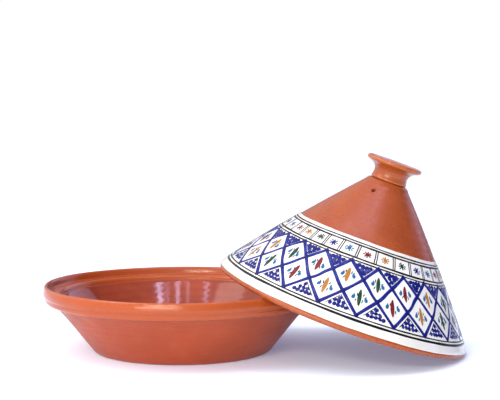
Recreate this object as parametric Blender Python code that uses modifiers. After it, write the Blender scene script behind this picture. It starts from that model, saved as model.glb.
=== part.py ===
"""Tagine pot: a round clay bowl, and its tall cone lid leaning on the bowl's rim with one edge on the table.

Sizes are in millimetres, on the clay's own sections, and Z is up. The origin is the middle of the bowl's foot.
The lid is modelled upright on its own rim plane, then tilted and set down against the bowl.
"""

import math

import bmesh
import bpy
from mathutils import Matrix, Vector

MM = 0.001
SEGMENTS = 72
GAP = 0.3
MERGE_DISTANCE = 0.00002

# bowl
BOWL_HEIGHT = 76.5
FOOT_RADIUS = 99.5
FOOT_EDGE_RADIUS = 104.0
WALL_TOP_RADIUS = 146.5
BAND_BOTTOM = 57.0
BAND_BOTTOM_RADIUS = 155.5
BAND_RADIUS = 158.8
LIP_ROUND = 3.0
LIP_INNER_RADIUS = 153.8
LEDGE_HEIGHT = 68.0
LEDGE_OUTER_RADIUS = 152.0
LEDGE_INNER_RADIUS = 141.0
FLOOR_THICKNESS = 8.0
FLOOR_RADIUS = 88.0
GLAZE_THICKNESS = 0.6

# lid, upright on its rim plane
LID_RADIUS = 147.8
LID_FOOT_RADIUS = 145.8
LID_RIM_INNER_RADIUS = 141.3
LID_STRIP_HEIGHT = 5.0
LID_CONE_HEIGHT = 155.0
LID_TOP_RADIUS = 21.0
LID_CROWNING = 3.0
LID_WALL = 8.2
LID_ROOF_THICKNESS = 6.0
GLAZE_BAND_BOTTOM = 5.5
GLAZE_BAND_TOP = 89.5
GLAZE_BAND_THICKNESS = 0.5
VENT_RADIUS = 2.9
VENT_HEIGHT = 141.5
VENT_AZIMUTH = math.radians(-118.0)
VENT_CUTTER_LENGTH = 30.0
VENT_CUTTER_SIDES = 16

# knob, above the lid's top
KNOB_FOOT_RADIUS = 20.6
KNOB_WAIST_RADIUS = 19.4
KNOB_WAIST_HEIGHT = 8.0
KNOB_FLANGE_RADIUS = 31.9
KNOB_HEIGHT = 23.6
KNOB_LIP_THICKNESS = 6.2
KNOB_DISH_DEPTH = 4.0

# how the lid leans
LEAN_ANGLE = math.radians(19.6)
LEAN_AZIMUTH = math.radians(-5.4)
LID_DISTANCE = 183.2
LID_RIM_HEIGHT = 49.0

TERRACOTTA = (0.48, 0.115, 0.035, 1.0)
GLAZED_CLAY = (0.36, 0.05, 0.02, 1.0)
WHITE_GLAZE = (0.86, 0.86, 0.88, 1.0)


def clear_scene():
    for obj in list(bpy.data.objects):
        bpy.data.objects.remove(obj, do_unlink=True)


def new_collection(name):
    collection = bpy.data.collections.new(name)
    bpy.context.scene.collection.children.link(collection)
    return collection


def material(name, colour, roughness):
    made = bpy.data.materials.new(name)
    made.use_nodes = True
    shader = made.node_tree.nodes["Principled BSDF"]
    shader.inputs["Base Color"].default_value = colour
    shader.inputs["Roughness"].default_value = roughness
    shader.inputs["Metallic"].default_value = 0.0
    return made


def arc(centre, radius, start_degrees, end_degrees, steps):
    """Points on a round corner of a section, from one angle to another."""
    points = []
    for step in range(steps + 1):
        angle = math.radians(start_degrees + (end_degrees - start_degrees) * step / steps)
        points.append((centre[0] + radius * math.cos(angle), centre[1] + radius * math.sin(angle)))
    return points


def bulge(start, end, crown, steps):
    """Points between two corners of a section, bowed out by crown at the middle; the corners are left out."""
    along = Vector((end[0] - start[0], end[1] - start[1]))
    outward = Vector((-along.y, along.x)).normalized()
    points = []
    for step in range(1, steps):
        share = step / steps
        point = Vector(start) + along * share + outward * crown * 4.0 * share * (1.0 - share)
        points.append((point.x, point.y))
    return points


def turned(name, section, collection, look):
    """A solid of revolution from a closed section that runs down its outer side, in millimetres."""
    mesh = bpy.data.meshes.new(name)
    points = [(radius * MM, 0.0, height * MM) for radius, height in section]
    edges = [(i, i + 1) for i in range(len(points) - 1)]
    if section[0][0] > 0.0 or section[-1][0] > 0.0:
        edges.append((len(points) - 1, 0))
    mesh.from_pydata(points, edges, [])
    mesh.materials.append(look)
    obj = bpy.data.objects.new(name, mesh)
    collection.objects.link(obj)
    screw = obj.modifiers.new("Turn", "SCREW")
    screw.axis = "Z"
    screw.angle = math.tau
    screw.steps = SEGMENTS
    screw.render_steps = SEGMENTS
    screw.use_merge_vertices = True
    screw.merge_threshold = MERGE_DISTANCE
    screw.use_smooth_shade = True
    return obj


def bowl_outer_side():
    """The bowl's outside, from the top of the lip down to the middle of the foot."""
    lip_centre = (BAND_RADIUS - LIP_ROUND, BOWL_HEIGHT - LIP_ROUND)
    lip = arc(lip_centre, LIP_ROUND, 90.0, 0.0, 4)
    band = [
        (BAND_RADIUS - 0.2, 66.0),
        (BAND_BOTTOM_RADIUS + 1.0, BAND_BOTTOM + 2.5),
        (BAND_BOTTOM_RADIUS - 0.8, BAND_BOTTOM),
    ]
    wall_top = (WALL_TOP_RADIUS, BAND_BOTTOM - 1.0)
    wall_foot = (FOOT_EDGE_RADIUS, 3.5)
    wall = [wall_top] + bulge(wall_top, wall_foot, -1.2, 4) + [wall_foot]
    return lip + band + wall + [(FOOT_RADIUS + 2.0, 1.0), (FOOT_RADIUS, 0.0), (0.0, 0.0)]


def bowl_inner_side():
    """The bowl's inside, from the middle of the floor up to the inner edge of the lip."""
    shoulder = (LEDGE_INNER_RADIUS - 4.0, LEDGE_HEIGHT - 7.0)
    floor_edge = (FLOOR_RADIUS, FLOOR_THICKNESS + 1.0)
    return (
        [(0.0, FLOOR_THICKNESS), (FLOOR_RADIUS * 0.6, FLOOR_THICKNESS), floor_edge, (FLOOR_RADIUS + 9.0, 15.0)]
        + [shoulder, (LEDGE_INNER_RADIUS - 2.2, LEDGE_HEIGHT - 2.0), (LEDGE_INNER_RADIUS, LEDGE_HEIGHT)]
        + [(LEDGE_OUTER_RADIUS - 0.6, LEDGE_HEIGHT), (LEDGE_OUTER_RADIUS, LEDGE_HEIGHT + 1.0)]
        + [(LIP_INNER_RADIUS - 0.6, BOWL_HEIGHT - 2.6), (LIP_INNER_RADIUS + 0.7, BOWL_HEIGHT - 0.7)]
    )


def shifted(points, distance):
    """The open line of points, moved sideways by distance, to the left of its own direction."""
    moved = []
    for index, point in enumerate(points):
        before = Vector(points[max(index - 1, 0)])
        after = Vector(points[min(index + 1, len(points) - 1)])
        along = (after - before).normalized()
        moved.append((point[0] - along.y * distance, point[1] + along.x * distance))
    return moved


def glaze_lining_section():
    """The glassy skin over the bowl's floor and inner wall, as a thin shell just clear of the clay."""
    clay = bowl_inner_side()[1:6]
    under = [(0.0, FLOOR_THICKNESS + GAP)] + shifted(clay, GAP)
    over = [(0.0, FLOOR_THICKNESS + GAP + GLAZE_THICKNESS)] + shifted(clay, GAP + GLAZE_THICKNESS)
    return over + under[::-1]


def cone_side(offset, low, high, steps):
    """The lid's sloping side between two heights, offset inwards, from the high end down to the low end."""
    points = []
    for step in range(steps + 1):
        height = high + (low - high) * step / steps
        points.append((cone_radius(height) - offset, height))
    return points


def cone_radius(height):
    """The radius of the lid's outer side at a height above its rim plane: a cone, bowed out a little."""
    share = (height - LID_STRIP_HEIGHT) / (LID_CONE_HEIGHT - LID_STRIP_HEIGHT)
    straight = LID_RADIUS + (LID_TOP_RADIUS - LID_RADIUS) * share
    return straight + LID_CROWNING * 4.0 * share * (1.0 - share)


def lid_cone_section():
    """The lid's clay: down the outside to the rim, and up the inside to the middle of the roof."""
    roof = LID_CONE_HEIGHT - LID_ROOF_THICKNESS
    outside = [(0.0, LID_CONE_HEIGHT), (LID_TOP_RADIUS - 0.5, LID_CONE_HEIGHT)]
    outside += cone_side(0.0, LID_STRIP_HEIGHT, LID_CONE_HEIGHT - 2.5, 8)
    rim = [(LID_RADIUS, 2.5), (LID_FOOT_RADIUS + 1.2, 0.8), (LID_FOOT_RADIUS, 0.0)]
    rim += [(LID_RIM_INNER_RADIUS + 1.0, 0.0), (LID_RIM_INNER_RADIUS, 0.8)]
    inside = cone_side(LID_WALL, 7.0, roof - 4.0, 7)[::-1]
    return outside + rim + inside + [(7.0, roof), (0.0, roof)]


def glaze_band_section():
    """The white ground that the decoration is painted on, as a thin shell just clear of the clay."""
    over = cone_side(-GAP - GLAZE_BAND_THICKNESS, GLAZE_BAND_BOTTOM, GLAZE_BAND_TOP, 6)
    under = cone_side(-GAP, GLAZE_BAND_BOTTOM, GLAZE_BAND_TOP, 6)
    return over + under[::-1]


def knob_section():
    """The lid's thrown knob: a foot luted to the cone, a waist, and a flange with a round lip and a dished top."""
    base = LID_CONE_HEIGHT + GAP
    top = LID_CONE_HEIGHT + KNOB_HEIGHT
    waist_height = LID_CONE_HEIGHT + KNOB_WAIST_HEIGHT
    lip_radius = KNOB_LIP_THICKNESS / 2.0
    lip_centre = (KNOB_FLANGE_RADIUS - lip_radius, top - lip_radius)
    dish = [(0.0, top - KNOB_DISH_DEPTH), (14.0, top - 0.7 * KNOB_DISH_DEPTH), (24.0, top - 0.6)]
    lip = arc(lip_centre, lip_radius, 90.0, -80.0, 6)
    underside = [(KNOB_WAIST_RADIUS + 4.2, top - 7.6), (KNOB_WAIST_RADIUS + 1.0, waist_height + 4.0)]
    waist = [(KNOB_WAIST_RADIUS, waist_height), (KNOB_FOOT_RADIUS - 0.4, base + 3.5), (KNOB_FOOT_RADIUS, base)]
    return dish + lip + underside + waist + [(0.0, base)]


def pierce_vent(cone, cutters):
    """The steam hole near the top of the cone, square to its slope."""
    radius = cone_radius(VENT_HEIGHT)
    slope = math.atan2(LID_RADIUS - LID_TOP_RADIUS, LID_CONE_HEIGHT - LID_STRIP_HEIGHT)
    outward = Vector((math.cos(VENT_AZIMUTH), math.sin(VENT_AZIMUTH), 0.0))
    direction = outward * math.cos(slope) + Vector((0.0, 0.0, math.sin(slope)))
    mesh = bpy.data.meshes.new("vent_cutter")
    shape = bmesh.new()
    reach = VENT_RADIUS * MM
    length = VENT_CUTTER_LENGTH * MM
    bmesh.ops.create_cone(
        shape, cap_ends=True, segments=VENT_CUTTER_SIDES, radius1=reach, radius2=reach, depth=length
    )
    shape.to_mesh(mesh)
    shape.free()
    cutter = bpy.data.objects.new("vent_cutter", mesh)
    cutters.objects.link(cutter)
    cutter.location = (outward * radius + Vector((0.0, 0.0, VENT_HEIGHT))) * MM
    cutter.rotation_euler = direction.to_track_quat("Z", "Y").to_euler()
    cutter.hide_render = True
    cutter.display_type = "WIRE"
    cut = cone.modifiers.new("Vent", "BOOLEAN")
    cut.operation = "DIFFERENCE"
    cut.solver = "EXACT"
    cut.object = cutter
    return cutter


def lid_pose():
    """The upright lid's pose at rest: tilted, turned to its lean azimuth, and set against the bowl."""
    turn = Matrix.Rotation(LEAN_AZIMUTH, 4, "Z")
    tilt = Matrix.Rotation(LEAN_ANGLE, 4, "Y")
    place = Matrix.Translation(Vector((LID_DISTANCE * MM, 0.0, LID_RIM_HEIGHT * MM)))
    return turn @ place @ tilt @ turn.inverted()


def build_bowl(parts):
    clay = material("bowl_clay", TERRACOTTA, 0.45)
    glaze = material("bowl_glaze", GLAZED_CLAY, 0.12)
    turned("bowl_body", bowl_outer_side() + bowl_inner_side(), parts, clay)
    turned("bowl_glaze_lining", glaze_lining_section(), parts, glaze)


def build_lid(parts, cutters):
    clay = material("lid_clay", TERRACOTTA, 0.45)
    knob_clay = material("knob_clay", TERRACOTTA, 0.35)
    white = material("lid_white_glaze", WHITE_GLAZE, 0.2)
    stand = bpy.data.objects.new("lid_stand", None)
    parts.objects.link(stand)
    stand.matrix_world = lid_pose()
    cone = turned("lid_cone", lid_cone_section(), parts, clay)
    vent = pierce_vent(cone, cutters)
    knob = turned("lid_knob", knob_section(), parts, knob_clay)
    band = turned("lid_glaze_band", glaze_band_section(), parts, white)
    for piece in (cone, knob, band, vent):
        piece.parent = stand


def main():
    clear_scene()
    parts = new_collection("tagine_pot")
    cutters = new_collection("cutters")
    build_bowl(parts)
    build_lid(parts, cutters)


main()
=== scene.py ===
"""Tagine pot: turned clay, glaze and painted decoration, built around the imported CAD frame.

Sections and strokes are in millimetres on the clay, and Blender's own coordinates are metres. The lid's
pieces are modelled upright on its rim plane and stand in the lid's frame, which is read from the CAD nodes.
"""

import math
import random

import bpy
import numpy as np
from mathutils import Matrix, Vector


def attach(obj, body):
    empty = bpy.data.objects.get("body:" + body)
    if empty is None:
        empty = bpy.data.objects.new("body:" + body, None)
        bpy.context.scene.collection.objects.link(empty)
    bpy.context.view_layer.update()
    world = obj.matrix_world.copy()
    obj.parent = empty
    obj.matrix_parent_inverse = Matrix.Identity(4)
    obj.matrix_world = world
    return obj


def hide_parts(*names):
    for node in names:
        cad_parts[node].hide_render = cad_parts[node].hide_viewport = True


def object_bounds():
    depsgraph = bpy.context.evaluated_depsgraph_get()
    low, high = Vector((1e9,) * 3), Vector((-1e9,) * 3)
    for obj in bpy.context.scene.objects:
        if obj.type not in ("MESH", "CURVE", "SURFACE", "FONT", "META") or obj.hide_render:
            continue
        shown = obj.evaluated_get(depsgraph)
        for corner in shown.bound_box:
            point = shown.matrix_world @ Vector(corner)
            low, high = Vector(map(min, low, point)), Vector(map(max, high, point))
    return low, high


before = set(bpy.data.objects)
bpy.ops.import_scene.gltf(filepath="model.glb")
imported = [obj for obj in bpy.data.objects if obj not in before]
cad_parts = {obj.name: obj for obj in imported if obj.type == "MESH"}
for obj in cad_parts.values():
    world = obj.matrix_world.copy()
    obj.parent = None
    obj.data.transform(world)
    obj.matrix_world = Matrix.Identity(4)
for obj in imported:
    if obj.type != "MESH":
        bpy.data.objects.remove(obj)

CAD_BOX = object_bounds()

MM = 0.001
TURN = math.tau

# turning: points round each shape, and along its section
SEGMENTS = 256
PROFILE_STEP = 1.5
CLOSEST_POINTS = 0.25
ON_AXIS = 1e-6
FILLET_STEPS = 5
FILLET_REACH = 0.48
BROAD_RING_PITCH = 8.6
FINE_RING_PITCH = 3.7
WEAR_GAIN = 1.4
SHARP_ANGLE = 42.0

# bowl sections, each corner (radius, height, fillet, depth of the throwing rings)
BOWL_INSIDE = [
    (0.0, 8.0, 0.0, 0.0), (40.0, 8.0, 10.0, 0.16), (88.0, 9.0, 12.0, 0.08), (97.0, 15.0, 8.0, 0.03),
    (137.0, 61.0, 3.0, 0.02), (138.8, 66.0, 1.5, 0.0), (141.0, 68.0, 0.9, 0.0), (146.0, 67.8, 2.0, 0.05),
    (151.4, 68.0, 0.8, 0.0), (152.0, 69.2, 0.8, 0.0), (153.1, 73.6, 1.5, 0.04), (154.3, 76.0, 1.3, 0.0),
]
BOWL_OUTSIDE = [
    (156.4, 76.7, 1.6, 0.0), (158.1, 75.3, 2.6, 0.0), (159.4, 68.2, 5.0, 0.02), (158.6, 65.0, 2.5, 0.02),
    (157.2, 63.4, 1.6, 0.0), (157.5, 60.8, 1.4, 0.0), (156.4, 58.2, 1.4, 0.0), (154.2, 57.0, 1.0, 0.0),
    (147.2, 55.9, 2.2, 0.0), (135.0, 42.5, 18.0, 0.1), (119.0, 22.5, 18.0, 0.1), (104.2, 3.6, 2.0, 0.06),
    (102.0, 1.2, 1.2, 0.0), (99.5, 0.0, 1.0, 0.0), (94.0, 0.0, 1.0, 0.0), (90.0, 0.7, 2.0, 0.0),
    (60.0, 0.8, 5.0, 0.1), (0.0, 0.8, 0.0, 0.0),
]
BOWL_HEIGHT = 76.5
GLAZED_DOWN_TO = (153.0, 57.0)
GLAZE_FADE = 2.0
LINING_CORNERS = 5
LINING_CLEARANCE = 0.35
LINING_THICKNESS = 0.5

# lid, upright on its rim plane
LID_RADIUS = 147.8
LID_STRIP_HEIGHT = 5.0
LID_CONE_HEIGHT = 155.0
LID_TOP_RADIUS = 21.0
LID_CROWNING = 3.0
LID_WALL = 8.2
VENT_RADIUS = 2.35
VENT_HEIGHT = 141.5
VENT_AZIMUTH = math.radians(-118.0)

# the vent's cutter: depth from the clay's surface, and radius over the vent's
VENT_SIDES = 40
VENT_RINGS = [(-14.0, 0.92), (-3.0, 0.95), (-0.9, 1.0), (0.1, 1.12), (6.0, 2.6)]

# knob's section, each corner as in the bowl's
KNOB_SECTION = [
    (0.0, 174.8, 0.0, 0.0), (14.0, 175.6, 6.0, 0.12), (24.5, 178.2, 3.0, 0.0), (28.5, 178.9, 2.0, 0.0),
    (31.6, 177.6, 2.2, 0.0), (31.9, 174.2, 2.0, 0.0), (28.4, 172.2, 2.2, 0.0), (23.6, 170.6, 3.0, 0.06),
    (20.2, 166.6, 3.0, 0.08), (19.3, 162.4, 3.0, 0.08), (20.2, 158.4, 2.0, 0.05), (20.9, 156.2, 0.8, 0.0),
    (20.2, 155.15, 0.3, 0.0), (0.0, 155.2, 0.0, 0.0),
]

# painted band: heights along the cone's slope from the band's lower edge
SLOPE_START = 5.5
BAND_LOW = 1.2
BAND_HIGH = 109.2
BAND_THICKNESS = 0.75
BAND_EDGE = [(0.0, 0.05), (0.25, 0.4), (0.8, 0.66)]
BAND_INNER = 3.5
BAND_OVER_STEPS = 70
BAND_UNDER_STEPS = 30

# the painting sags away from the front: by this much at the lower edge, and by more further up the slope
FRONT = math.radians(-95.0)
DRIFT_LOW = 1.5
DRIFT_RISE = 0.011

# painted lines, as slope and width; the lattice's crossings; the border's squares
RING_STEPS = 420
RINGS = [(12.0, 3.0), (15.9, 1.8), (80.6, 1.9), (84.1, 2.4), (100.9, 2.3), (104.1, 1.8)]
LATTICE_ROWS = [80.0, 61.5, 39.7, 17.4]
LATTICE_PERIODS = 21
LATTICE_START = math.radians(-151.06)
LATTICE_SWELL = 0.032
LATTICE_CENTRE = math.radians(-86.2)
LATTICE_LEAN = math.radians(0.79)
LATTICE_WIDTH = 3.85
LATTICE_LINE_STEPS = 12
SQUARES = 30
SQUARES_START = math.radians(-145.9)
SQUARES_SWELL = 0.125
SQUARES_CENTRE = math.radians(-78.7)
SQUARES_LOW = 84.9
SQUARES_HIGH = 100.3
SQUARES_RADIUS = 75.0
BAR_OFFSET = 1.15
BAR_WIDTH = 1.3
FLORET_RAYS = 8

# each row of leaves: its top crossing's row, steps back to the left crossing, rise from the middle, length
LEAF_ROWS = [(0, 0, 0.4, 19.0), (1, 1, -0.6, 21.0)]
FLICKS_LEFT_OUT = 0.12

# touches that fill the triangles: rows, spacing, and how plump they are above and below the lattice
FILL_ROWS = 3
FILL_SPACING = 4.6
PLUMP_ABOVE = 1.16
PLUMP_BELOW = 1.04
PAINT_SHARP_ANGLE = 50.0

# across a brush stroke: place over its width, height over its lift, and how much of the rim's pigment pools
STROKE_SECTION = [
    (-0.5, -0.35, 1.0), (-0.42, 1.0, 0.8), (0.0, 1.15, -0.2), (0.42, 1.0, 0.5), (0.5, -0.35, 1.0),
]

# pigments, as linear colour
INK = (0.003, 0.004, 0.006)
COBALT = (0.005, 0.012, 0.19)
NAVY = (0.005, 0.009, 0.155)
SKY = (0.006, 0.11, 0.26)
OCHRE = (0.37, 0.15, 0.02)
RED = (0.16, 0.006, 0.014)
GREEN = (0.006, 0.045, 0.022)
DIAMOND_PIGMENTS = [OCHRE, GREEN, RED]
SQUARE_PIGMENTS = [SKY, RED, OCHRE, GREEN, NAVY]
PIGMENT_ROUGHNESS = 0.2

# clays: linear colours, roughness, and the pitch of the turning lines in metres
BOWL_CLAY = {
    "body": (0.39, 0.056, 0.011), "dark": (0.325, 0.042, 0.008), "pale": (0.46, 0.095, 0.028),
    "rough": 0.42, "ring_pitch": 0.0021,
}
LID_CLAY = {
    "body": (0.315, 0.058, 0.011), "dark": (0.262, 0.042, 0.008), "pale": (0.385, 0.09, 0.024),
    "rough": 0.28, "ring_pitch": 0.0017,
}
KNOB_CLAY = {
    "body": (0.36, 0.075, 0.015), "dark": (0.29, 0.053, 0.011), "pale": (0.44, 0.128, 0.038),
    "rough": 0.2, "ring_pitch": 0.0014,
}
GLAZED_CLAY = (0.37, 0.069, 0.011)

# studio, in metres
BRIGHT_SIDE = (-0.80, -0.30, 0.52)
DIM_LIGHT = (0.05, 0.06, 0.10)
BRIGHT_LIGHT = (1.44, 1.44, 1.44)
BACKDROP = (1.02, 1.02, 1.02)
SUN_STRENGTH = 0.72
SUN_SPREAD = math.radians(35.0)
SUN_DIRECTION = (0.62, 0.2, -0.75)
SUN_COLOUR = (1.0, 0.97, 0.93)
# the floor's own glow, as linear colour: painted fill light that lifts and cools the shadows on the floor
FLOOR_GLOW = (0.12, 0.15, 0.24)
FLOOR_REACH = 60.0
FLOOR_DROP = 0.0002

# narrow windows overhead, which the bowl's glaze mirrors: place along X, width and power
WINDOW_STRIPS = [
    (-1.03, 0.07, 2.2), (-0.52, 0.06, 1.0), (-0.08, 0.04, 0.5),
    (0.12, 0.07, 1.5), (0.35, 0.04, 0.5), (0.61, 0.1, 2.9),
]
STRIP_BACK = -0.35
STRIP_HEIGHT = 1.7
STRIP_TARGET = (0.0, 0.1, 0.0)
STRIP_DEPTH = 0.6
STRIP_COLOUR = (0.72, 0.66, 1.0)

# larger windows: name, place, what it faces, width, depth, power and colour
WINDOWS = [
    ("front_window", (-0.47, -1.76, 0.40), (0.0, 0.0, 0.07), 1.1, 0.26, 9.5, (1.0, 0.92, 0.78)),
    ("high_window", (-0.42, -1.66, 0.86), (0.0, 0.1, 0.07), 0.75, 0.2, 10.0, (1.0, 0.92, 0.75)),
    ("back_window", (1.5, 1.9, 1.0), (0.0, 0.0, 0.1), 2.2, 1.3, 11.0, (0.76, 0.68, 1.0)),
]

CAMERA_LENS = 94.0
CAMERA_SENSOR = 36.0
CAMERA_AIM = (0.0778, 0.0, 0.1723)
CAMERA_ELEVATION = 0.0708
CAMERA_DISTANCE = 1.5

# one seeded hand draws every stroke
draw = random.Random(7)


# ---------------------------------------------------------------- frame

def cad_points(node):
    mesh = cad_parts[node].data
    points = np.empty(len(mesh.vertices) * 3)
    mesh.vertices.foreach_get("co", points)
    return np.unique(np.round(points.reshape(-1, 3), 6), axis=0)


def lid_frame():
    """The lid's upright frame: its rim plane's middle and its axis, both measured on the CAD nodes."""
    band = cad_points("lid_glaze_band")
    middle = band.mean(axis=0)
    spread, directions = np.linalg.eigh((band - middle).T @ (band - middle))
    odd = 0 if spread[1] - spread[0] > spread[2] - spread[1] else 2
    axis = directions[:, odd] * np.sign(directions[2, odd])
    rim_height = (cad_points("lid_cone") @ axis).min()
    origin = middle + axis * (rim_height - middle @ axis)
    turn = Vector((0.0, 0.0, 1.0)).rotation_difference(Vector(axis))
    return Matrix.Translation(Vector(origin)) @ turn.to_matrix().to_4x4()


# ---------------------------------------------------------------- turned shapes

def section_line(corners):
    """Dense points (radius, height, ring depth) along a section, its corners rounded by their fillets."""
    flat = [np.array((c[0], c[1], c[3])) for c in corners]
    dense = []
    for index, corner in enumerate(corners):
        here = flat[index]
        if corner[2] == 0.0 or index in (0, len(corners) - 1):
            dense.append(here)
            continue
        ends = []
        for other in (flat[index - 1], flat[index + 1]):
            reach = np.hypot(*(other - here)[:2])
            ends.append(here + (other - here) * min(corner[2] / reach, FILLET_REACH))
        for step in range(FILLET_STEPS + 1):
            t = step / FILLET_STEPS
            dense.append((1 - t) ** 2 * ends[0] + 2 * t * (1 - t) * here + t ** 2 * ends[1])
    line = np.array(dense)
    along = np.concatenate([[0.0], np.cumsum(np.hypot(*np.diff(line[:, :2], axis=0).T))])
    marks = np.union1d(np.linspace(0.0, along[-1], int(along[-1] / PROFILE_STEP) + 1), along)
    kept = [marks[0]]
    for mark in marks[1:-1]:
        if mark - kept[-1] > CLOSEST_POINTS and along[-1] - mark > CLOSEST_POINTS:
            kept.append(mark)
    kept.append(marks[-1])
    return np.stack([np.interp(kept, along, line[:, i]) for i in range(3)], axis=1)


def throwing(along, azimuth):
    """Height of the potter's finger rings, from -1 to 1: a slow spiral whose pitch and depth vary."""
    drift = 0.8 * np.sin(azimuth + along / 31.0) + 0.5 * np.sin(2.0 * azimuth - along / 17.0)
    swell = 0.75 + 0.25 * np.sin(along / 13.0 + 2.0 * azimuth)
    broad = np.sin(along * TURN / BROAD_RING_PITCH + azimuth + drift) * swell
    fine = np.sin(along * TURN / FINE_RING_PITCH - azimuth + 1.5 * drift)
    return 0.72 * broad + 0.28 * fine


def signed_area(radius, height):
    """Twice the area that a section encloses, negative where it runs clockwise."""
    return np.sum(radius * np.roll(height, -1) - height * np.roll(radius, -1))


def edge_wear(radius, height):
    """How sharp and outward each point's corner is, from 0 to 1."""
    points = np.stack([radius, height], axis=1)
    before, after = np.vstack([points[:1], points[:-1]]), np.vstack([points[1:], points[-1:]])
    arrive, leave = points - before, after - points
    cross = arrive[:, 0] * leave[:, 1] - arrive[:, 1] * leave[:, 0]
    bend = np.arctan2(cross, (arrive * leave).sum(axis=1) + 1e-9)
    bend = bend * np.sign(signed_area(radius, height))
    nearby = np.convolve(np.concatenate([bend[-2:], bend, bend[:2]]), np.ones(5), "valid")
    return np.clip(nearby * WEAR_GAIN, 0.0, 1.0)


def mesh_object(name, points, faces, material, place=None):
    mesh = bpy.data.meshes.new(name)
    mesh.from_pydata([tuple(p) for p in points], [], faces)
    mesh.validate()
    if place is not None:
        mesh.transform(place)
    mesh.materials.append(material)
    obj = bpy.data.objects.new(name, mesh)
    bpy.context.scene.collection.objects.link(obj)
    return obj


def smooth(obj, sharp_degrees=SHARP_ANGLE):
    obj.data.shade_smooth()
    obj.data.set_sharp_from_angle(angle=math.radians(sharp_degrees))


def set_point_values(obj, name, values):
    attribute = obj.data.attributes.new(name, "FLOAT", "POINT")
    attribute.data.foreach_set("value", np.asarray(values, np.float32))


def joined(rings, loop=False):
    """Faces between neighbouring rings of points; a ring of one point closes the shape on its axis."""
    pairs = list(zip(rings, rings[1:]))
    if loop:
        pairs.append((rings[-1], rings[0]))
    faces = []
    for low, high in pairs:
        count = max(len(low), len(high))
        for here in range(count):
            after = (here + 1) % count
            if len(low) == 1:
                faces.append((low[0], high[after], high[here]))
            elif len(high) == 1:
                faces.append((low[here], low[after], high[0]))
            else:
                faces.append((low[here], low[after], high[after], high[here]))
    return faces


def mark_glazed(obj, radius, height, along, rings):
    """Mark the points that lie before the glaze's lower edge as glazed, with a short fade."""
    edge = np.argmin(np.hypot(radius - GLAZED_DOWN_TO[0], height - GLAZED_DOWN_TO[1]))
    share = np.clip((along[edge] - along) / GLAZE_FADE + 0.5, 0.0, 1.0)
    spread = [np.full(len(ring), value) for ring, value in zip(rings, share)]
    set_point_values(obj, "Glazed", np.concatenate(spread))


def turned(name, corners, material, wobble, place=None, phase=0.0, glazed=False):
    """A thrown shape: the section turned round Z, with finger rings and the clay's slight wobble."""
    line = section_line(corners)
    radius, height, depth = line.T
    slope = np.gradient(line[:, :2], axis=0)
    length = np.hypot(slope[:, 0], slope[:, 1]) + 1e-9
    along = np.concatenate([[0.0], np.cumsum(np.hypot(np.diff(radius), np.diff(height)))])
    azimuth = np.linspace(0.0, TURN, SEGMENTS, endpoint=False)
    mark = throwing(along[:, None] + phase, azimuth[None, :]) * depth[:, None]
    shift, lift = wobble(azimuth[None, :], radius[:, None], height[:, None])
    out = radius[:, None] - mark * (slope[:, 1] / length)[:, None] + shift
    up = height[:, None] + mark * (slope[:, 0] / length)[:, None] + lift
    points, rings, wear = [], [], []
    worn = edge_wear(radius, height)
    for i in range(len(line)):
        if radius[i] < ON_AXIS:
            rings.append([len(points)])
            points.append((0.0, 0.0, height[i] * MM))
            wear.append(0.0)
            continue
        rings.append(range(len(points), len(points) + SEGMENTS))
        points.extend(zip(out[i] * np.cos(azimuth) * MM, out[i] * np.sin(azimuth) * MM, up[i] * MM))
        wear.extend([worn[i]] * SEGMENTS)
    faces = joined(rings)
    if signed_area(radius, height) < 0.0:
        faces = [face[::-1] for face in faces]
    obj = mesh_object(name, points, faces, material, place)
    set_point_values(obj, "Wear", wear)
    if glazed:
        mark_glazed(obj, radius, height, along, rings)
    smooth(obj)
    return obj


def bowl_wobble(azimuth, radius, height):
    """Out of round and out of level by a few tenths, growing with height so that the foot stands flat."""
    share = np.clip(height / BOWL_HEIGHT, 0.0, 1.0)
    shift = (0.45 * np.sin(2.0 * azimuth + 0.4) + 0.2 * np.sin(3.0 * azimuth + 2.0)) * share
    lift = (0.35 * np.sin(2.0 * azimuth + 1.9) + 0.15 * np.sin(5.0 * azimuth)) * share ** 2
    return shift, lift


def lid_wobble(azimuth, radius, height):
    share = np.clip(height / 30.0, 0.0, 1.0)
    shift = (0.25 * np.sin(2.0 * azimuth + 0.7) + 0.15 * np.sin(3.0 * azimuth + 2.1)) * share
    return shift * np.clip(radius / 40.0, 0.0, 1.0), np.zeros_like(azimuth * height)


# ---------------------------------------------------------------- cone of the lid

def cone_radius(height):
    share = (height - LID_STRIP_HEIGHT) / (LID_CONE_HEIGHT - LID_STRIP_HEIGHT)
    return LID_RADIUS + (LID_TOP_RADIUS - LID_RADIUS) * share + LID_CROWNING * 4.0 * share * (1.0 - share)


CONE_HEIGHTS = np.linspace(SLOPE_START - 5.0, 150.0, 600)
CONE_RADII = cone_radius(CONE_HEIGHTS)
CONE_ALONG = np.concatenate([[0.0], np.cumsum(np.hypot(np.diff(CONE_RADII), np.diff(CONE_HEIGHTS)))])
CONE_ALONG = CONE_ALONG - np.interp(SLOPE_START, CONE_HEIGHTS, CONE_ALONG)
CONE_TILT = np.arctan2(-np.gradient(CONE_RADII), np.gradient(CONE_HEIGHTS))


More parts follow.
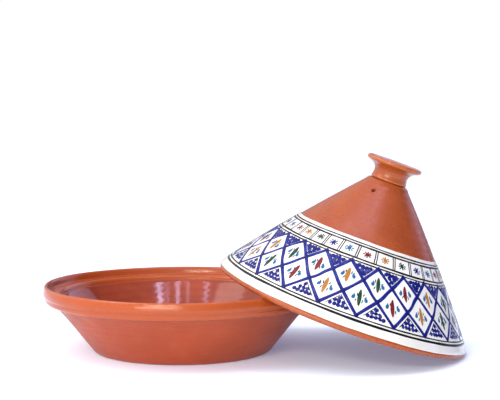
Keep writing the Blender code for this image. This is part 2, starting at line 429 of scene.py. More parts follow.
def lid_section():
    """The lid's clay: from the middle of its top down the cone, round the rim, and up the inside."""
    corners = [(0.0, LID_CONE_HEIGHT, 0.0, 0.0), (LID_TOP_RADIUS + 1.2, 154.9, 4.5, 0.0)]
    for height in (150.0, 140.0, 128.0, 112.0, 99.0):
        corners.append((cone_radius(height), height, 6.0, 0.1))
    for height in (92.0, 75.0, 55.0, 35.0, 15.0):
        corners.append((cone_radius(height), height, 8.0, 0.03))
    corners += [(LID_RADIUS + 0.2, 4.2, 1.6, 0.0), (LID_RADIUS - 0.4, 1.2, 1.6, 0.0), (145.2, 0.05, 1.2, 0.0)]
    corners += [(142.3, 0.1, 0.8, 0.0), (141.2, 1.4, 1.0, 0.0)]
    for height in (12.0, 40.0, 70.0, 100.0, 125.0, 140.0):
        corners.append((cone_radius(height) - LID_WALL, height, 8.0, 0.22))
    return corners + [(14.0, 147.4, 5.0, 0.05), (0.0, 149.0, 0.0, 0.0)]


def on_lid(azimuth, slope, lift):
    """Points on the lid's cone, in metres: slope runs up the clay and lift stands off it, in millimetres."""
    azimuth, slope, lift = np.broadcast_arrays(azimuth, slope, lift)
    drift = (DRIFT_LOW + DRIFT_RISE * slope) * (np.cos(2.0 * (azimuth - FRONT)) - 1.0) / 2.0
    along = slope + drift
    height = np.interp(along, CONE_ALONG, CONE_HEIGHTS)
    radius = np.interp(along, CONE_ALONG, CONE_RADII)
    tilt = np.interp(along, CONE_ALONG, CONE_TILT)
    shift, _ = lid_wobble(azimuth, radius, height)
    out = radius + shift + lift * np.cos(tilt)
    up = height + lift * np.sin(tilt)
    return np.stack([out * np.cos(azimuth), out * np.sin(azimuth), up], axis=-1) * MM


def radius_at(slope):
    return float(np.interp(slope, CONE_ALONG, CONE_RADII))


def glaze_band(material, place):
    """The white ground: a thin closed shell whose dipped edges waver and run out to the clay."""
    azimuth = np.linspace(0.0, TURN, SEGMENTS, endpoint=False)
    waver = 0.14 * np.sin(9.0 * azimuth + 1.0) + 0.09 * np.sin(23.0 * azimuth)
    waver = waver + 0.04 * np.sin(41.0 * azimuth + 2.0)
    span = BAND_HIGH - BAND_LOW
    inner = np.linspace(BAND_INNER, span - BAND_INNER, BAND_OVER_STEPS)
    over = BAND_EDGE + [(s, BAND_THICKNESS) for s in inner]
    over += [(span - s, lift) for s, lift in reversed(BAND_EDGE)]
    under = [(s, -0.1) for s in np.linspace(span - 0.3, 0.3, BAND_UNDER_STEPS)]
    rows = []
    for slope, lift in over + under:
        share = slope / span
        edge = waver * (1.0 - share) + np.roll(waver, 40) * share
        ripple = 0.02 * np.sin(slope / 4.0 + 3.0 * azimuth) if lift == BAND_THICKNESS else 0.0
        rows.append(on_lid(azimuth, BAND_LOW + slope + edge, lift + ripple))
    rings = [range(i * SEGMENTS, (i + 1) * SEGMENTS) for i in range(len(rows))]
    obj = mesh_object("lid_glaze", np.concatenate(rows), joined(rings, loop=True), material, place)
    smooth(obj)
    return obj


# ---------------------------------------------------------------- painted strokes

class Paint:
    """Brush strokes that lie on the glaze, gathered into one mesh; each is a thin closed ribbon."""

    def __init__(self):
        self.points = []
        self.faces = []
        self.wash = []
        self.pigments = []

    def stroke(self, azimuths, slopes, widths, lift, pigment, wash, closed=False, rim=0.25):
        """One stroke through the given places, widths in millimetres; wash runs from thin 0 to thick 1."""
        azimuths, slopes, widths, wash = (np.asarray(v, float) for v in (azimuths, slopes, widths, wash))
        radii = np.interp(slopes, CONE_ALONG, CONE_RADII)
        if closed:
            east, north = radii * TURN / len(azimuths), np.zeros_like(slopes)
        else:
            east, north = np.gradient(azimuths) * radii, np.gradient(slopes)
        length = np.hypot(east, north) + 1e-9
        side_east, side_north = -north / length, east / length
        rows = []
        for across, up, _ in STROKE_SECTION:
            offset = across * widths
            top = BAND_THICKNESS + lift * up
            rows.append(on_lid(azimuths + side_east * offset / radii, slopes + side_north * offset, top))
        shades = [wash + rim * pooled for _, _, pooled in STROKE_SECTION]
        self.add_ribbon(len(azimuths), closed)
        self.points.extend(np.stack(rows, axis=1).reshape(-1, 3))
        self.wash.extend(np.clip(np.stack(shades, axis=1), 0.0, 1.0).reshape(-1))
        self.pigments.extend([pigment] * (len(azimuths) * len(STROKE_SECTION)))

    def add_ribbon(self, count, closed):
        """The faces of a ribbon whose count sections come next, joined end to end or capped."""
        around = len(STROKE_SECTION)
        first = len(self.points)
        for i in range(count if closed else count - 1):
            a, b = first + i * around, first + ((i + 1) % count) * around
            for j in range(around - 1):
                self.faces.append((a + j, b + j, b + j + 1, a + j + 1))
            self.faces.append((a + around - 1, b + around - 1, b, a))
        if not closed:
            last = first + (count - 1) * around
            self.faces.append(tuple(range(first, first + around)))
            self.faces.append(tuple(range(last + around - 1, last - 1, -1)))

    def dab(self, azimuth, slope, direction, length, width, lift, pigment, wash,
            bend=0.0, sharp=0.5, steps=8):
        """A short touch of the brush, at degrees from level; sharp is 0.5 for round ends and 1 for points."""
        share = np.linspace(0.02, 0.98, steps)
        run = (share - 0.5) * length
        sway = bend * np.sin(math.pi * share)
        turn = math.radians(direction)
        east = run * math.cos(turn) - sway * math.sin(turn)
        north = run * math.sin(turn) + sway * math.cos(turn)
        widths = width * (4.0 * share * (1.0 - share)) ** sharp
        tone = wash + 0.25 * (share - 0.5)
        self.stroke(azimuth + east / radius_at(slope), slope + north, widths, lift, pigment, tone)

    def finish(self, name, material, place):
        obj = mesh_object(name, self.points, self.faces, material, place)
        set_point_values(obj, "Wash", self.wash)
        colour = obj.data.attributes.new("Pigment", "FLOAT_COLOR", "POINT")
        rgba = np.concatenate([np.array(self.pigments), np.ones((len(self.pigments), 1))], axis=1)
        colour.data.foreach_set("color", rgba.astype(np.float32).reshape(-1))
        smooth(obj, PAINT_SHARP_ANGLE)
        return obj


def spaced(start, count, swell, harmonic, centre, step):
    """The azimuth of one of count steps round the lid, where the painter's spacing swells near centre."""
    even = start + step * TURN / count
    return even + swell / harmonic * math.sin(harmonic * (even - centre))


def lattice_vertex(row, step):
    """(azimuth, slope) of a crossing: rows run 0 at the top to 3, and odd rows sit half a step back."""
    offset = step - 0.5 * (row % 2)
    azimuth = spaced(LATTICE_START, LATTICE_PERIODS, LATTICE_SWELL, 2.0, LATTICE_CENTRE, offset)
    return azimuth + LATTICE_LEAN * (row - 1.5), LATTICE_ROWS[row]


def hand_vertices():
    """Every crossing of the lattice, each moved a little as a hand would."""
    places = {}
    for row in range(4):
        for step in range(LATTICE_PERIODS):
            azimuth, slope = lattice_vertex(row, step)
            azimuth += draw.uniform(-0.6, 0.6) / radius_at(slope)
            loose = 0.6 if row in (1, 2) else 0.2
            places[row, step] = (azimuth, slope + draw.uniform(-loose, loose))
    return places


def crossing(places, row, step):
    """A crossing by any step number, wrapped once or more round the lid."""
    laps, wrapped = divmod(step, LATTICE_PERIODS)
    azimuth, slope = places[row, wrapped]
    return azimuth + laps * TURN, slope


def diagonal(places, step, lean):
    """The four crossings of one diagonal from the top row down; lean is 1 to the right and 0 to the left."""
    line = [crossing(places, 0, step)]
    for row in (1, 2, 3):
        if lean:
            step += row % 2
        else:
            step -= 1 - row % 2
        line.append(crossing(places, row, step))
    return line


def diagonal_line(corners, step, lean):
    """The run of one diagonal: slightly bowed between its crossings, and wider and darker close to them."""
    azimuths, slopes, widths, wash = [], [], [], []
    for index in range(3):
        (a0, s0), (a1, s1) = corners[index], corners[index + 1]
        bow = draw.uniform(0.0, 0.8) * (1.0 if lean else -1.0)
        for part in range(LATTICE_LINE_STEPS + (index == 2)):
            t = part / LATTICE_LINE_STEPS
            curve = bow * math.sin(TURN * t) if index % 2 else bow * math.sin(math.pi * t)
            near = abs(2.0 * t - 1.0)
            azimuths.append(a0 + (a1 - a0) * t + curve / radius_at(s0))
            slopes.append(s0 + (s1 - s0) * t)
            widths.append(LATTICE_WIDTH + 0.35 * near ** 2 + 0.35 * math.sin(5.0 * t + 2.0 * step + index))
            wash.append(0.45 + 0.3 * near ** 3 + 0.12 * math.sin(7.0 * t + step))
    slopes[0] += 0.6
    slopes[-1] -= 0.8
    return azimuths, slopes, widths, wash


def paint_lattice(paint, places):
    for step in range(LATTICE_PERIODS):
        for lean in (0, 1):
            azimuths, slopes, widths, wash = diagonal_line(diagonal(places, step, lean), step, lean)
            paint.stroke(azimuths, slopes, widths, 0.1 + 0.08 * lean, COBALT, wash, rim=0.3)
    for azimuth, slope in places.values():
        paint.dab(azimuth, slope, draw.uniform(60.0, 120.0), 5.4, 4.2, 0.2, COBALT, 1.0, sharp=0.6)


def paint_rings(paint):
    azimuths = np.linspace(0.0, TURN, RING_STEPS, endpoint=False)
    for index, (slope, width) in enumerate(RINGS):
        shake = 0.16 * np.sin(5.0 * azimuths + index) + 0.09 * np.sin(13.0 * azimuths + 2.0 * index)
        swell = 1.0 + 0.12 * np.sin(7.0 * azimuths + 3.0 * index) + 0.06 * np.sin(31.0 * azimuths)
        tone = 0.6 + 0.3 * np.sin(3.0 * azimuths + index)
        paint.stroke(azimuths, slope + shake, width * swell, 0.13, INK, tone, closed=True)


def square_edge(step):
    return spaced(SQUARES_START, SQUARES, SQUARES_SWELL, 3.0, SQUARES_CENTRE, step)


def paint_bars(paint):
    for step in range(SQUARES):
        middle = square_edge(step)
        for side in (-1.0, 1.0):
            lean = draw.uniform(-0.25, 0.25)
            share = np.linspace(0.0, 1.0, 8)
            slopes = SQUARES_LOW + (SQUARES_HIGH - SQUARES_LOW) * share
            offset = side * BAR_OFFSET + lean * (share - 0.5) + 0.1 * np.sin(5.0 * share + step)
            radii = np.interp(slopes, CONE_ALONG, CONE_RADII)
            widths = np.full(len(share), BAR_WIDTH)
            paint.stroke(middle + offset / radii, slopes, widths, 0.1, INK, 0.45 + 0.3 * share)


def paint_florets(paint):
    middle_slope = (SQUARES_LOW + SQUARES_HIGH) / 2.0 + 0.2
    for step in range(SQUARES):
        pigment = SQUARE_PIGMENTS[(step + 2) % len(SQUARE_PIGMENTS)]
        middle = (square_edge(step) + square_edge(step + 1)) / 2.0
        azimuth = middle + draw.uniform(-0.5, 0.5) / SQUARES_RADIUS
        slope = middle_slope + draw.uniform(-0.5, 0.5)
        paint.dab(azimuth, slope, draw.uniform(0, 180), 5.0, 4.3, 0.12, pigment, 0.6, sharp=0.4)
        spin = draw.uniform(0.0, 60.0)
        for ray in range(FLORET_RAYS):
            angle = spin + ray * 360.0 / FLORET_RAYS + draw.uniform(-8.0, 8.0)
            reach = 3.1 + draw.uniform(-0.3, 0.4)
            place = azimuth + reach * math.cos(math.radians(angle)) / SQUARES_RADIUS
            height = slope + reach * math.sin(math.radians(angle))
            size = draw.uniform(2.3, 3.0)
            paint.dab(place, height, angle, size, 1.8, 0.1, pigment, 0.55, sharp=0.6)


def paint_flick(paint, azimuth, slope, radius, side, end):
    """A short dark line between a leaf and its blue touch, now and then left out."""
    if draw.random() < FLICKS_LEFT_OUT:
        return
    place = azimuth + side * draw.uniform(3.2, 3.9) / radius
    height = slope + end * draw.uniform(2.8, 4.4)
    tilt = 90.0 - side * end * draw.uniform(-4.0, 22.0)
    pigment = GREEN if draw.random() < 0.3 else INK
    paint.dab(place, height, tilt, draw.uniform(3.4, 5.0), 1.3, 0.1, pigment, 0.8, sharp=0.6)


def paint_diamond(paint, azimuth, slope, half_width, length, pigment):
    """A leaf on the upright diagonal, a round blue touch each side, and a few dark flicks between them."""
    radius = radius_at(slope)
    lean = 90.0 + draw.uniform(1.0, 6.0)
    bend = draw.uniform(-0.5, 0.5)
    width = draw.uniform(4.5, 5.3)
    paint.dab(azimuth, slope, lean, length, width, 0.14, pigment, 0.42, bend=bend, sharp=0.62, steps=14)
    paint.dab(azimuth - 1.1 / radius, slope - 0.5, lean, length * 0.62, 0.8, 0.19, pigment, 0.95, sharp=0.7)
    for side in (-1.0, 1.0):
        reach = half_width * draw.uniform(0.36, 0.41)
        low = draw.uniform(-1.2, 0.6) * (1.0 + 0.4 * side)
        place = azimuth + side * reach / radius
        turn = 90.0 + side * draw.uniform(10.0, 30.0)
        paint.dab(place, slope + low, turn, 5.2, 4.0, 0.12, SKY, 0.5, bend=side * 0.5, steps=10)
        tail = place - side * 1.4 / radius
        paint.dab(tail, slope + low + 2.6, 60.0 * side, 3.6, 1.7, 0.1, SKY, 0.75, bend=side * 0.4)
        for end in (-1.0, 1.0):
            paint_flick(paint, azimuth, slope, radius, side, end)


def paint_leaves(paint, places):
    for step in range(LATTICE_PERIODS):
        pigment = DIAMOND_PIGMENTS[step % len(DIAMOND_PIGMENTS)]
        for row, back, rise, length in LEAF_ROWS:
            top, bottom = crossing(places, row, step), crossing(places, row + 2, step)
            left, right = crossing(places, row + 1, step - back), crossing(places, row + 1, step + 1 - back)
            slope = (top[1] + bottom[1]) / 2.0 + rise
            half = (right[0] - left[0]) / 2.0 * radius_at(slope)
            paint_diamond(paint, (left[0] + right[0]) / 2.0, slope, half, length, pigment)


def between(first, second, share):
    return tuple(a + (b - a) * share for a, b in zip(first, second))


def fill_triangle(paint, corners, fill, plump):
    """Rows of small dark touches, fewer towards the apex, which is the last corner."""
    for row in range(FILL_ROWS):
        share = (row + 0.3) / FILL_ROWS
        start, end = between(corners[0], corners[2], share), between(corners[1], corners[2], share)
        width = abs(end[0] - start[0]) * radius_at(start[1])
        count = max(1, round(width / FILL_SPACING))
        for item in range(count):
            spot = between(start, end, (item + 0.5) / count)
            azimuth = spot[0] + draw.uniform(-0.4, 0.4) / radius_at(spot[1])
            slope = spot[1] + draw.uniform(-0.4, 0.4)
            turn = draw.choice((35.0, 65.0, 95.0, 130.0)) + draw.uniform(-15.0, 15.0)
            size = draw.uniform(4.6, 5.8) * plump
            tone = draw.uniform(0.25, 0.85)
            broad = draw.uniform(3.9, 4.7) * plump
            paint.dab(azimuth, slope, turn, size, broad, 0.1, fill, tone, sharp=0.4, steps=7)


def paint_triangle(paint, left, right, apex, outline, fill, plump):
    """A half diamond: thin lines inside its two slanting sides, and small dark touches filling it."""
    centre = tuple((a + b + c) / 3.0 for a, b, c in zip(left, right, apex))
    edges = [between(centre, corner, 0.64) for corner in (left, right, apex)]
    for side in (0, 1):
        start, end = edges[side], edges[2]
        share = np.linspace(0.0, 1.0, 9)
        azimuths = start[0] + (end[0] - start[0]) * share
        slopes = start[1] + (end[1] - start[1]) * share
        if draw.random() < 0.85:
            paint.stroke(azimuths, slopes, np.full(len(share), 1.0), 0.09, outline, 0.5 + 0.4 * share)
    fill_triangle(paint, [between(centre, corner, 0.6) for corner in (left, right, apex)], fill, plump)


def paint_triangles(paint, places):
    for step in range(LATTICE_PERIODS):
        left, right = crossing(places, 0, step - 1), crossing(places, 0, step)
        paint_triangle(paint, left, right, crossing(places, 1, step), NAVY, NAVY, PLUMP_ABOVE)
        left, right = crossing(places, 3, step), crossing(places, 3, step + 1)
        paint_triangle(paint, left, right, crossing(places, 2, step), INK, NAVY, PLUMP_BELOW)


# ---------------------------------------------------------------- materials

class Look:
    """A material and short ways to add its nodes; an input given a socket is linked, and a value is set."""

    def __init__(self, name, place=None):
        self.material = bpy.data.materials.new(name)
        self.material.use_nodes = True
        self.tree = self.material.node_tree
        self.shader = self.tree.nodes["Principled BSDF"]
        self.place = self.add("ShaderNodeTexCoord").outputs["Object"]
        if place is not None:
            upright = place.inverted()
            inputs = {"Vector": self.place, "Location": upright.to_translation()}
            inputs["Rotation"] = upright.to_euler()
            self.place = self.add("ShaderNodeMapping", inputs).outputs["Vector"]

    def wire(self, node, inputs):
        for key, value in inputs.items():
            if isinstance(value, bpy.types.NodeSocket):
                self.tree.links.new(value, node.inputs[key])
            else:
                node.inputs[key].default_value = value

    def add(self, kind, inputs=None, **settings):
        node = self.tree.nodes.new(kind)
        for key, value in settings.items():
            setattr(node, key, value)
        self.wire(node, inputs or {})
        return node

    def noise(self, scale, detail, roughness, distortion=0.0):
        inputs = {"Vector": self.place, "Scale": scale, "Detail": detail, "Roughness": roughness}
        inputs["Distortion"] = distortion
        return self.add("ShaderNodeTexNoise", inputs).outputs["Fac"]

    def rings(self, pitch, distortion):
        """Lines round the object's axis, pitch metres apart."""
        inputs = {"Vector": self.place, "Scale": TURN / (20.0 * pitch), "Distortion": distortion}
        inputs["Detail"] = 3.0
        inputs["Detail Scale"] = 0.6
        wave = self.add("ShaderNodeTexWave", inputs, wave_type="BANDS", bands_direction="Z")
        return wave.outputs["Fac"]

    def span(self, value, low, high, start=0.0, end=1.0):
        """The value's range from low to high, turned into start to end."""
        inputs = {"Value": value, "From Min": low, "From Max": high, "To Min": start, "To Max": end}
        return self.add("ShaderNodeMapRange", inputs).outputs["Result"]

    def blend(self, factor, first, second, mode="MIX"):
        node = self.add("ShaderNodeMix", data_type="RGBA", blend_type=mode)
        for index, value in ((0, factor), (6, first), (7, second)):
            if isinstance(value, bpy.types.NodeSocket):
                self.tree.links.new(value, node.inputs[index])
            elif index:
                node.inputs[index].default_value = (*value, 1.0)
            else:
                node.inputs[index].default_value = value
        return node.outputs[2]

    def sum(self, first, second, scale):
        inputs = {0: second, 1: scale, 2: first}
        return self.add("ShaderNodeMath", inputs, operation="MULTIPLY_ADD").outputs[0]

    def attribute(self, name, output="Fac"):
        return self.add("ShaderNodeAttribute", attribute_name=name).outputs[output]

    def bump(self, height, distance, strength):
        inputs = {"Height": height, "Distance": distance, "Strength": strength}
        return self.add("ShaderNodeBump", inputs).outputs["Normal"]

    def coat(self, colour, roughness, normal, specular):
        """Finish the material: its colour, how rough and uneven it is, and how strongly it mirrors."""
        self.wire(self.shader, {"Base Color": colour, "Roughness": roughness, "Normal": normal})
        self.shader.inputs["Specular IOR Level"].default_value = specular
        return self.material


def terracotta(name, body, dark, pale, rough, ring_pitch, place=None):
    """Thrown and burnished clay: cloudy colour, turning lines, fine grit, and paler worn edges."""
    look = Look(name, place)
    cloud = look.span(look.noise(16.0, 5.0, 0.6, 0.4), 0.35, 0.68)
    colour = look.blend(cloud, dark, body)
    streak = look.span(look.rings(ring_pitch, 2.2), 0.2, 0.9, 0.0, 0.15)
    colour = look.blend(streak, colour, pale)
    patch = look.span(look.noise(55.0, 6.0, 0.65), 0.52, 0.74, 0.0, 0.28)
    colour = look.blend(patch, colour, pale)
    grit = look.span(look.noise(1100.0, 2.0, 0.5), 0.66, 0.72, 0.0, 0.5)
    colour = look.blend(grit, colour, dark)
    chalk = look.span(look.noise(760.0, 2.0, 0.5), 0.68, 0.75, 0.0, 0.45)
    colour = look.blend(chalk, colour, (0.72, 0.36, 0.2))
    ragged = look.span(look.noise(240.0, 4.0, 0.7), 0.35, 0.65, 0.15, 0.85)
    worn = {0: look.attribute("Wear"), 1: ragged}
    colour = look.blend(look.add("ShaderNodeMath", worn, operation="MULTIPLY").outputs[0], colour, pale)
    height = look.sum(look.noise(420.0, 5.0, 0.6), look.rings(ring_pitch, 1.6), 0.5)
    height = look.sum(height, grit, -0.9)
    roughness = look.span(look.noise(70.0, 5.0, 0.6), 0.3, 0.7, rough - 0.06, rough + 0.08)
    glazed = look.attribute("Glazed")
    colour = look.blend(look.span(glazed, 0.0, 1.0, 0.0, 0.55), colour, GLAZED_CLAY)
    roughness = look.sum(roughness, glazed, -0.29)
    return look.coat(colour, roughness, look.bump(height, 0.00009, 0.8), 0.42)


def clay_glaze(name):
    """Clear glaze over red clay: wet-looking, with clouds where it pooled and a faint orange-peel skin."""
    look = Look(name)
    cloud = look.span(look.noise(24.0, 4.0, 0.6, 0.5), 0.35, 0.7)
    colour = look.blend(cloud, (0.24, 0.028, 0.008), (0.33, 0.044, 0.011))
    pool = look.span(look.rings(0.0086, 1.0), 0.1, 0.6, 0.2, 0.0)
    colour = look.blend(pool, colour, (0.16, 0.02, 0.01))
    fleck = look.span(look.noise(900.0, 2.0, 0.5), 0.67, 0.72, 0.0, 0.5)
    colour = look.blend(fleck, colour, (0.09, 0.014, 0.008))
    height = look.sum(look.noise(260.0, 2.0, 0.5), look.noise(90.0, 2.0, 0.5), 1.6)
    roughness = look.span(look.noise(120.0, 4.0, 0.6), 0.3, 0.7, 0.06, 0.13)
    return look.coat(colour, roughness, look.bump(height, 0.00004, 0.6), 0.42)


def white_glaze(name):
    """Tin-white ground: cool white with warm thin places, pinholes and a gently uneven glassy skin."""
    look = Look(name)
    cloud = look.span(look.noise(30.0, 4.0, 0.55), 0.35, 0.7)
    colour = look.blend(cloud, (0.68, 0.67, 0.64), (0.77, 0.77, 0.77))
    blush = look.span(look.noise(90.0, 5.0, 0.6), 0.6, 0.82, 0.0, 0.35)
    colour = look.blend(blush, colour, (0.74, 0.62, 0.52))
    pinhole = look.span(look.noise(620.0, 1.0, 0.4), 0.755, 0.775, 0.0, 0.75)
    colour = look.blend(pinhole, colour, (0.3, 0.16, 0.1))
    height = look.sum(look.noise(150.0, 3.0, 0.5), pinhole, -1.5)
    roughness = look.span(look.noise(80.0, 4.0, 0.6), 0.3, 0.7, 0.1, 0.2)
    return look.coat(colour, roughness, look.bump(height, 0.00006, 0.6), 0.4)


def brushed_pigment(name, thin, pooled):
    """Underglaze colour: the ground shows where the brush ran thin, and it darkens where it pooled."""
    look = Look(name)
    pigment = look.attribute("Pigment", "Color")
    wash = look.attribute("Wash")
    uneven = look.sum(wash, look.span(look.noise(260.0, 4.0, 0.65), 0.25, 0.75, -0.28, 0.28), 1.0)
    colour = look.blend(look.span(uneven, 0.0, 0.45, thin, 0.0), pigment, (0.6, 0.62, 0.72))
    colour = look.blend(look.span(uneven, 0.5, 1.0, 0.0, pooled), colour, (0.4, 0.36, 0.42), "MULTIPLY")
    streak = look.noise(520.0, 3.0, 0.7)
    roughness = look.span(streak, 0.3, 0.7, PIGMENT_ROUGHNESS - 0.04, PIGMENT_ROUGHNESS + 0.07)
    return look.coat(colour, roughness, look.bump(streak, 0.00004, 0.6), 0.22)


def glowing_floor_paper(name):
    look = Look(name)
    tone = look.span(look.noise(6.0, 3.0, 0.5), 0.3, 0.7)
    colour = look.blend(tone, (0.84, 0.90, 0.98), (0.86, 0.92, 0.99))
    look.wire(look.shader, {"Base Color": colour, "Roughness": 0.85})
    # the paper glows: painted fill light that lightens the shadows cast on it and turns them lavender
    look.shader.inputs["Emission Color"].default_value = (*FLOOR_GLOW, 1.0)
    look.shader.inputs["Emission Strength"].default_value = 1.0
    look.shader.inputs["Specular IOR Level"].default_value = 0.15
    return look.material


# ---------------------------------------------------------------- pieces

def vent_cutter(material):
    """The tool that pierces the steam hole: a little out of round, and flared at the clay's surface."""
    points, rings = [], []
    for depth, flare in VENT_RINGS:
        rings.append(range(len(points), len(points) + VENT_SIDES))
        for side in range(VENT_SIDES):
            angle = TURN * side / VENT_SIDES
            reach = VENT_RADIUS * flare * (1.0 + 0.03 * math.sin(3.0 * angle + 1.0))
            points.append((reach * math.cos(angle) * MM, reach * math.sin(angle) * MM, depth * MM))
    faces = joined(rings)
    faces.append(tuple(reversed(rings[0])))
    faces.append(tuple(rings[-1]))
    return mesh_object("vent_cutter", points, faces, material)


def pierce_vent(cone, place):
    """The steam hole through the lid, square to its slope."""
    tilt = math.atan2(LID_RADIUS - LID_TOP_RADIUS, LID_CONE_HEIGHT - LID_STRIP_HEIGHT)
    outward = Vector((math.cos(VENT_AZIMUTH), math.sin(VENT_AZIMUTH), 0.0))
    direction = outward * math.cos(tilt) + Vector((0.0, 0.0, math.sin(tilt)))
    seat = outward * cone_radius(VENT_HEIGHT) + Vector((0.0, 0.0, VENT_HEIGHT))
    cutter = vent_cutter(cone.data.materials[0])
    turn = direction.to_track_quat("Z", "Y").to_matrix().to_4x4()
    cutter.matrix_world = place @ Matrix.Translation(seat * MM) @ turn
    cut = cone.modifiers.new("Vent", "BOOLEAN")
    cut.operation = "DIFFERENCE"
    cut.solver = "EXACT"
    cut.object = cutter
    bpy.context.view_layer.update()
    graph = bpy.context.evaluated_depsgraph_get()
    pierced = bpy.data.meshes.new_from_object(cone.evaluated_get(graph))
    cone.modifiers.clear()
    cone.data = pierced
    bpy.data.objects.remove(cutter, do_unlink=True)
    smooth(cone)


def raised(corner, rise, depth):
    """A corner of the clay's section moved to a skin over it: up on the floor, and inward on the wall."""
    radius, height, fillet, _ = corner
    inward = (0.75 if radius > 90.0 else 0.1) * rise * (radius > 0.0)
    return (radius - inward, height + 0.7 * rise, fillet, depth)


def lining_section():
    """The clear glaze's skin over the bowl's floor and wall: its upper face, then its under face back."""
    clay = BOWL_INSIDE[:LINING_CORNERS]
    over = [raised(corner, LINING_CLEARANCE + LINING_THICKNESS, corner[3]) for corner in clay]
    lip = (clay[-1][0] + 0.5, clay[-1][1] + 0.9, 0.4, 0.0)
    under = [raised(corner, LINING_CLEARANCE, 0.0) for corner in clay]
    return over + [lip] + under[::-1]


def build_bowl():
    clay = terracotta("bowl_clay", **BOWL_CLAY)
    body = turned("bowl_clay_body", BOWL_INSIDE + BOWL_OUTSIDE, clay, bowl_wobble, glazed=True)
    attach(body, "bowl")
    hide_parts("bowl_body")
    lining = turned("bowl_lining", lining_section(), clay_glaze("bowl_glaze"), bowl_wobble)
    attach(lining, "bowl")
    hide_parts("bowl_glaze_lining")


def build_lid(place):
    clay = terracotta("lid_clay", **LID_CLAY, place=place)
    cone = turned("lid_clay_cone", lid_section(), clay, lid_wobble, place, phase=20.0)
    pierce_vent(cone, place)
    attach(cone, "lid")
    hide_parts("lid_cone")
    knob_clay = terracotta("knob_clay", **KNOB_CLAY, place=place)
    knob = turned("lid_clay_knob", KNOB_SECTION, knob_clay, lid_wobble, place, phase=5.0)
    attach(knob, "lid")
    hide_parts("lid_knob")
    band = glaze_band(white_glaze("lid_white_glaze"), place)
    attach(band, "lid")
    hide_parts("lid_glaze_band")


def paint_lid(place):
    places = hand_vertices()
    lines, lattice, fills, leaves = Paint(), Paint(), Paint(), Paint()
    paint_rings(lines)
    paint_bars(lines)
    paint_lattice(lattice, places)
    paint_triangles(fills, places)
    paint_leaves(leaves, places)
    paint_florets(leaves)
    black = lines.finish("paint_rings", brushed_pigment("paint_ink", 0.06, 0.3), place)
    blue = lattice.finish("paint_lattice", brushed_pigment("paint_cobalt", 0.1, 0.85), place)
    dots = fills.finish("paint_fillings", brushed_pigment("paint_navy", 0.1, 0.5), place)
    bright = leaves.finish("paint_leaves", brushed_pigment("paint_colours", 0.12, 0.5), place)
    for piece in (black, blue, dots, bright):
        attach(piece, "lid")


# ---------------------------------------------------------------- studio

def area_light(name, where, target, width, depth, power, colour):
    lamp = bpy.data.lights.new(name, "AREA")
    lamp.shape = "RECTANGLE"
    lamp.size = width
    lamp.size_y = depth
    lamp.energy = power
    lamp.color = colour
    obj = bpy.data.objects.new(name, lamp)
    bpy.context.scene.collection.objects.link(obj)
    obj.visible_camera = False
    obj.location = where
    obj.rotation_euler = (Vector(target) - Vector(where)).to_track_quat("-Z", "Y").to_euler()


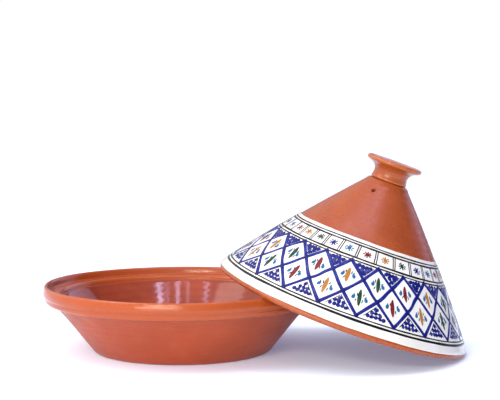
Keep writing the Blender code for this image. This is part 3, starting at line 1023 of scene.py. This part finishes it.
def shade_world(tree):
    """A white studio, brightest above to the left, dimmer and cooler opposite, and plain to look at."""
    sky = tree.nodes["Background"]
    direction = tree.nodes.new("ShaderNodeTexCoord").outputs["Generated"]
    toward = tree.nodes.new("ShaderNodeVectorMath")
    toward.operation = "DOT_PRODUCT"
    toward.inputs[1].default_value = Vector(BRIGHT_SIDE).normalized()
    tree.links.new(direction, toward.inputs[0])
    share = tree.nodes.new("ShaderNodeMapRange")
    share.interpolation_type = "SMOOTHSTEP"
    share.inputs["From Min"].default_value = -0.7
    share.inputs["From Max"].default_value = 1.0
    tree.links.new(toward.outputs["Value"], share.inputs["Value"])
    mix = tree.nodes.new("ShaderNodeMix")
    mix.data_type = "RGBA"
    mix.inputs[6].default_value = (*DIM_LIGHT, 1.0)
    mix.inputs[7].default_value = (*BRIGHT_LIGHT, 1.0)
    tree.links.new(share.outputs["Result"], mix.inputs[0])
    seen = tree.nodes.new("ShaderNodeMix")
    seen.data_type = "RGBA"
    seen.inputs[7].default_value = (*BACKDROP, 1.0)
    tree.links.new(tree.nodes.new("ShaderNodeLightPath").outputs["Is Camera Ray"], seen.inputs[0])
    tree.links.new(mix.outputs[2], seen.inputs[6])
    tree.links.new(seen.outputs[2], sky.inputs["Color"])


def build_sun():
    sun = bpy.data.lights.new("window", "SUN")
    sun.energy = SUN_STRENGTH
    sun.angle = SUN_SPREAD
    sun.color = SUN_COLOUR
    lamp = bpy.data.objects.new("window", sun)
    bpy.context.scene.collection.objects.link(lamp)
    lamp.rotation_euler = Vector(SUN_DIRECTION).to_track_quat("-Z", "Y").to_euler()


def build_floor():
    low, high = CAD_BOX
    middle = (low + high) / 2.0
    base = low.z - FLOOR_DROP
    square = ((-1, -1), (1, -1), (1, 1), (-1, 1))
    corners = [(middle.x + x * FLOOR_REACH, middle.y + y * FLOOR_REACH, base) for x, y in square]
    floor = mesh_object("floor", corners, [(0, 1, 2, 3)], glowing_floor_paper("glowing_floor_paper"))


def build_studio():
    world = bpy.data.worlds.new("studio")
    bpy.context.scene.world = world
    world.use_nodes = True
    shade_world(world.node_tree)
    build_sun()
    for index, (x, width, power) in enumerate(WINDOW_STRIPS):
        place = (x, STRIP_BACK, STRIP_HEIGHT)
        area_light(f"strip_{index}", place, STRIP_TARGET, width, STRIP_DEPTH, power, STRIP_COLOUR)
    for window in WINDOWS:
        area_light(*window)
    build_floor()


def build_camera():
    """A long lens a little higher than the lid, looking slightly down."""
    lens = bpy.data.cameras.new("camera")
    lens.sensor_width = CAMERA_SENSOR
    lens.lens = CAMERA_LENS
    camera = bpy.data.objects.new("camera", lens)
    bpy.context.scene.collection.objects.link(camera)
    back = Vector((0.0, -math.cos(CAMERA_ELEVATION), math.sin(CAMERA_ELEVATION)))
    camera.location = Vector(CAMERA_AIM) + back * CAMERA_DISTANCE
    camera.rotation_euler = (-back).to_track_quat("-Z", "Y").to_euler()
    bpy.context.scene.camera = camera
    bpy.context.scene.view_settings.view_transform = "Standard"


build_camera()
build_studio()
lid_place = lid_frame()
build_bowl()
build_lid(lid_place)
paint_lid(lid_place)
